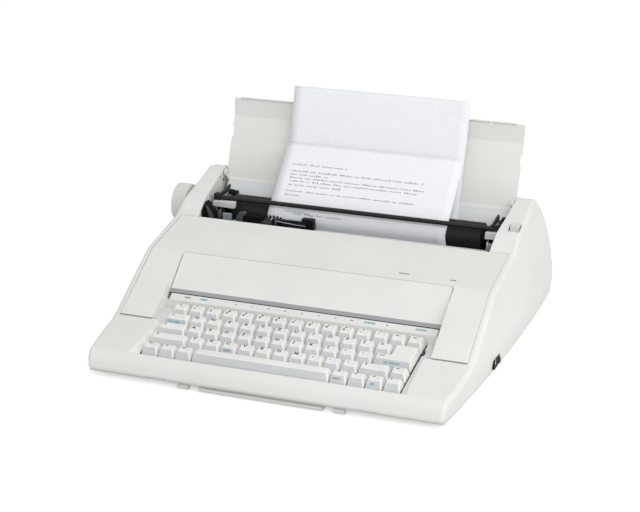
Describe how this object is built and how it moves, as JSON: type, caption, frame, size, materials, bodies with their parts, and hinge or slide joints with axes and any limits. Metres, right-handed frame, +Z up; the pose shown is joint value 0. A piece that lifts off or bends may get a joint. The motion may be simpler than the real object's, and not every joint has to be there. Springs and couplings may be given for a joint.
{
  "type": "portable typewriter",
  "caption": "Electronic portable typewriter with sunk keyboard, hinged cover, platen with knob, paper bail, open paper support with a sheet, and a print wheel carriage.",
  "frame": {"origin": "middle of the whole footprint, on the ground", "axes": "+X to the right as the person typing sees it, +Y away from that person, +Z up"},
  "size_m": [0.43, 0.399, 0.231],
  "materials": {
    "case_plastic": "fine texture",
    "tray_plastic": "fine texture",
    "cover_plastic": "fine texture",
    "panel_plastic": "fine texture",
    "lid_plastic": "fine texture",
    "keyboard_plastic": "fine texture",
    "key_plastic": "satin",
    "deck_plastic": "satin",
    "hub_plastic": "satin",
    "knob_plastic": "satin",
    "black_plastic": "satin",
    "gear_plastic": "satin",
    "wheel_plastic": "satin",
    "clear_plastic": "clear",
    "platen_rubber": "ground",
    "soft_rubber": "matt",
    "black_metal": "satin",
    "plate_steel": "zinc plated",
    "bright_steel": "polished",
    "core_metal": "turned",
    "bush_brass": "turned",
    "motor_metal": "satin",
    "board_laminate": "coated",
    "paper_white": "plain"
  },
  "bodies": {
    "case": {"base_shell": "tray_plastic", "upper_case": "case_plastic", "rubber_feet": "soft_rubber", "case_screws": "plate_steel", "keyboard_frame": "keyboard_plastic", "keyboard_board": "board_laminate", "side_plates": "plate_steel", "platen_bushes": "bush_brass", "line_feed_motor": "motor_metal", "paper_guides": "deck_plastic", "paper_sheet": "paper_white", "lid_pins": "bright_steel", "guide_shaft": "bright_steel", "guide_rail": "plate_steel", "drive_belt": "soft_rubber", "carriage_motor": "motor_metal", "main_board": "board_laminate", "transformer": "motor_metal", "switch_body": "black_plastic", "cord_gland": "soft_rubber"},
    "cover": {"top_cover": "cover_plastic", "cover_panel": "panel_plastic"},
    "platen": {"platen_roller": "platen_rubber", "platen_core": "core_metal", "platen_shaft": "bright_steel", "platen_hubs": "hub_plastic", "platen_knob": "knob_plastic", "platen_gear": "gear_plastic"},
    "idler": {"feed_gear": "gear_plastic"},
    "pinion": {"motor_pinion": "bush_brass"},
    "front_rollers": {"front_feed_rollers": "soft_rubber"},
    "back_rollers": {"back_feed_rollers": "soft_rubber"},
    "bail": {"paper_bail": "black_metal"},
    "support": {"paper_support": "lid_plastic"},
    "carriage": {"carriage_frame": "black_plastic", "wheel_motor": "motor_metal", "hammer_coil": "motor_metal", "ribbon_cassette": "black_plastic", "card_holder": "clear_plastic"},
    "wheel": {"print_wheel": "wheel_plastic"},
    "hammer": {"print_hammer": "bright_steel"},
    "left_spool": {"supply_spool": "hub_plastic"},
    "right_spool": {"take_up_spool": "hub_plastic"},
    "belt_pulley": {"drive_pulley": "core_metal"},
    "return_pulley": {"idler_pulley": "core_metal"},
    "rocker": {"power_rocker": "black_plastic"},
    "release": {"release_lever": "hub_plastic"},
    "handle": {"carrying_handle": "tray_plastic"},
    "return_key_body": {"return_key": "key_plastic"},
    "number_keys_body": {"number_keys": "key_plastic"},
    "upper_letter_keys_body": {"upper_letter_keys": "key_plastic"},
    "middle_letter_keys_body": {"middle_letter_keys": "key_plastic"},
    "lower_letter_keys_body": {"lower_letter_keys": "key_plastic"},
    "left_function_keys_body": {"left_function_keys": "key_plastic"},
    "right_function_keys_body": {"right_function_keys": "key_plastic"},
    "tab_key_body": {"tab_key": "key_plastic"},
    "shift_lock_key_body": {"shift_lock_key": "key_plastic"},
    "left_shift_key_body": {"left_shift_key": "key_plastic"},
    "right_shift_key_body": {"right_shift_key": "key_plastic"},
    "space_bar_body": {"space_bar": "key_plastic"}
  },
  "joints": [
    {"name": "cover_hinge", "type": "hinge", "parent": "case", "child": "cover", "pos_m": [0.00603, -0.11191, 0.0372], "axis": [1, 0, 0], "range_deg": [0, 60]},
    {"name": "support_hinge", "type": "hinge", "parent": "case", "child": "support", "pos_m": [0.00603, 0.13109, 0.127], "axis": [-1, 0, 0], "range_deg": [-126, 0], "deforming": ["paper_sheet"]},
    {"name": "platen_spin", "type": "hinge", "parent": "case", "child": "platen", "pos_m": [0.00603, 0.1001, 0.095], "axis": [1, 0, 0], "continuous": true},
    {"name": "idler_spin", "type": "hinge", "parent": "case", "child": "idler", "pos_m": [-0.15717, 0.11954, 0.07183], "axis": [1, 0, 0], "continuous": true},
    {"name": "pinion_spin", "type": "hinge", "parent": "case", "child": "pinion", "pos_m": [-0.15717, 0.11954, 0.05158], "axis": [1, 0, 0], "continuous": true},
    {"name": "front_roller_spin", "type": "hinge", "parent": "case", "child": "front_rollers", "pos_m": [0.00603, 0.09059, 0.07461], "axis": [1, 0, 0], "continuous": true},
    {"name": "back_roller_spin", "type": "hinge", "parent": "case", "child": "back_rollers", "pos_m": [0.00603, 0.11134, 0.07551], "axis": [1, 0, 0], "continuous": true},
    {"name": "bail_swing", "type": "hinge", "parent": "case", "child": "bail", "pos_m": [0.00603, 0.0861, 0.086], "axis": [1, 0, 0], "range_deg": [0, 40], "stiffness_Nm_per_rad": 0.3, "springref_deg": -17.19},
    {"name": "carriage_travel", "type": "slide", "parent": "case", "child": "carriage", "axis": [1, 0, 0], "range_m": [-0.019, 0.196]},
    {"name": "wheel_spin", "type": "hinge", "parent": "carriage", "child": "wheel", "pos_m": [-0.08697, 0.08009, 0.064], "axis": [0, 1, 0], "continuous": true},
    {"name": "hammer_stroke", "type": "slide", "parent": "carriage", "child": "hammer", "axis": [0, 1, 0], "range_m": [0, 0.0026], "stiffness_N_per_m": 40, "springref_m": -0.004},
    {"name": "left_spool_spin", "type": "hinge", "parent": "carriage", "child": "left_spool", "pos_m": [-0.10897, 0.0581, 0.053], "axis": [0, 0, 1], "continuous": true},
    {"name": "right_spool_spin", "type": "hinge", "parent": "carriage", "child": "right_spool", "pos_m": [-0.06497, 0.0581, 0.053], "axis": [0, 0, 1], "continuous": true},
    {"name": "belt_pulley_spin", "type": "hinge", "parent": "case", "child": "belt_pulley", "pos_m": [0.14203, 0.0311, 0.03], "axis": [0, 0, 1], "range_deg": [-1459.4, 142.4]},
    {"name": "return_pulley_spin", "type": "hinge", "parent": "case", "child": "return_pulley", "pos_m": [-0.12997, 0.0311, 0.03], "axis": [0, 0, 1], "range_deg": [-1459.4, 142.4]},
    {"name": "power_switch", "type": "hinge", "parent": "case", "child": "rocker", "pos_m": [0.20683, -0.04741, 0.0135], "axis": [0, 0, 1], "range_deg": [0, 16]},
    {"name": "paper_release", "type": "hinge", "parent": "case", "child": "release", "pos_m": [0.19303, 0.07909, 0.098], "axis": [1, 0, 0], "range_deg": [0, 20]},
    {"name": "handle_slide", "type": "slide", "parent": "case", "child": "handle", "axis": [0, -1, 0], "range_m": [0, 0.045]},
    {"name": "return_key_press", "type": "slide", "parent": "case", "child": "return_key_body", "axis": [0, 0.1668, -0.986], "range_m": [0, 0.0035], "stiffness_N_per_m": 160, "springref_m": -0.003},
    {"name": "number_keys_press", "type": "slide", "parent": "case", "child": "number_keys_body", "axis": [0, 0.1668, -0.986], "range_m": [0, 0.0035], "stiffness_N_per_m": 600, "springref_m": -0.003},
    {"name": "upper_letter_keys_press", "type": "slide", "parent": "case", "child": "upper_letter_keys_body", "axis": [0, 0.1668, -0.986], "range_m": [0, 0.0035], "stiffness_N_per_m": 600, "springref_m": -0.003},
    {"name": "middle_letter_keys_press", "type": "slide", "parent": "case", "child": "middle_letter_keys_body", "axis": [0, 0.1668, -0.986], "range_m": [0, 0.0035], "stiffness_N_per_m": 560, "springref_m": -0.003},
    {"name": "lower_letter_keys_press", "type": "slide", "parent": "case", "child": "lower_letter_keys_body", "axis": [0, 0.1668, -0.986], "range_m": [0, 0.0035], "stiffness_N_per_m": 520, "springref_m": -0.003},
    {"name": "left_function_keys_press", "type": "slide", "parent": "case", "child": "left_function_keys_body", "axis": [0, 0.1668, -0.986], "range_m": [0, 0.0035], "stiffness_N_per_m": 280, "springref_m": -0.003},
    {"name": "right_function_keys_press", "type": "slide", "parent": "case", "child": "right_function_keys_body", "axis": [0, 0.1668, -0.986], "range_m": [0, 0.0035], "stiffness_N_per_m": 400, "springref_m": -0.003},
    {"name": "tab_key_press", "type": "slide", "parent": "case", "child": "tab_key_body", "axis": [0, 0.1668, -0.986], "range_m": [0, 0.0035], "stiffness_N_per_m": 160, "springref_m": -0.003},
    {"name": "shift_lock_key_press", "type": "slide", "parent": "case", "child": "shift_lock_key_body", "axis": [0, 0.1668, -0.986], "range_m": [0, 0.0035], "stiffness_N_per_m": 160, "springref_m": -0.003},
    {"name": "left_shift_key_press", "type": "slide", "parent": "case", "child": "left_shift_key_body", "axis": [0, 0.1668, -0.986], "range_m": [0, 0.0035], "stiffness_N_per_m": 160, "springref_m": -0.003},
    {"name": "right_shift_key_press", "type": "slide", "parent": "case", "child": "right_shift_key_body", "axis": [0, 0.1668, -0.986], "range_m": [0, 0.0035], "stiffness_N_per_m": 160, "springref_m": -0.003},
    {"name": "space_bar_press", "type": "slide", "parent": "case", "child": "space_bar_body", "axis": [0, 0.1668, -0.986], "range_m": [0, 0.0035], "stiffness_N_per_m": 160, "springref_m": -0.003}
  ],
  "couplings": [
    {"joint": "idler_spin", "follows": "platen_spin", "ratio": -1},
    {"joint": "pinion_spin", "follows": "platen_spin", "ratio": 3},
    {"joint": "front_roller_spin", "follows": "platen_spin", "ratio": -3.3},
    {"joint": "back_roller_spin", "follows": "platen_spin", "ratio": -3.3},
    {"joint": "belt_pulley_spin", "follows": "carriage_travel", "rad_per_m": -129.87},
    {"joint": "return_pulley_spin", "follows": "carriage_travel", "rad_per_m": -129.87}
  ]
}
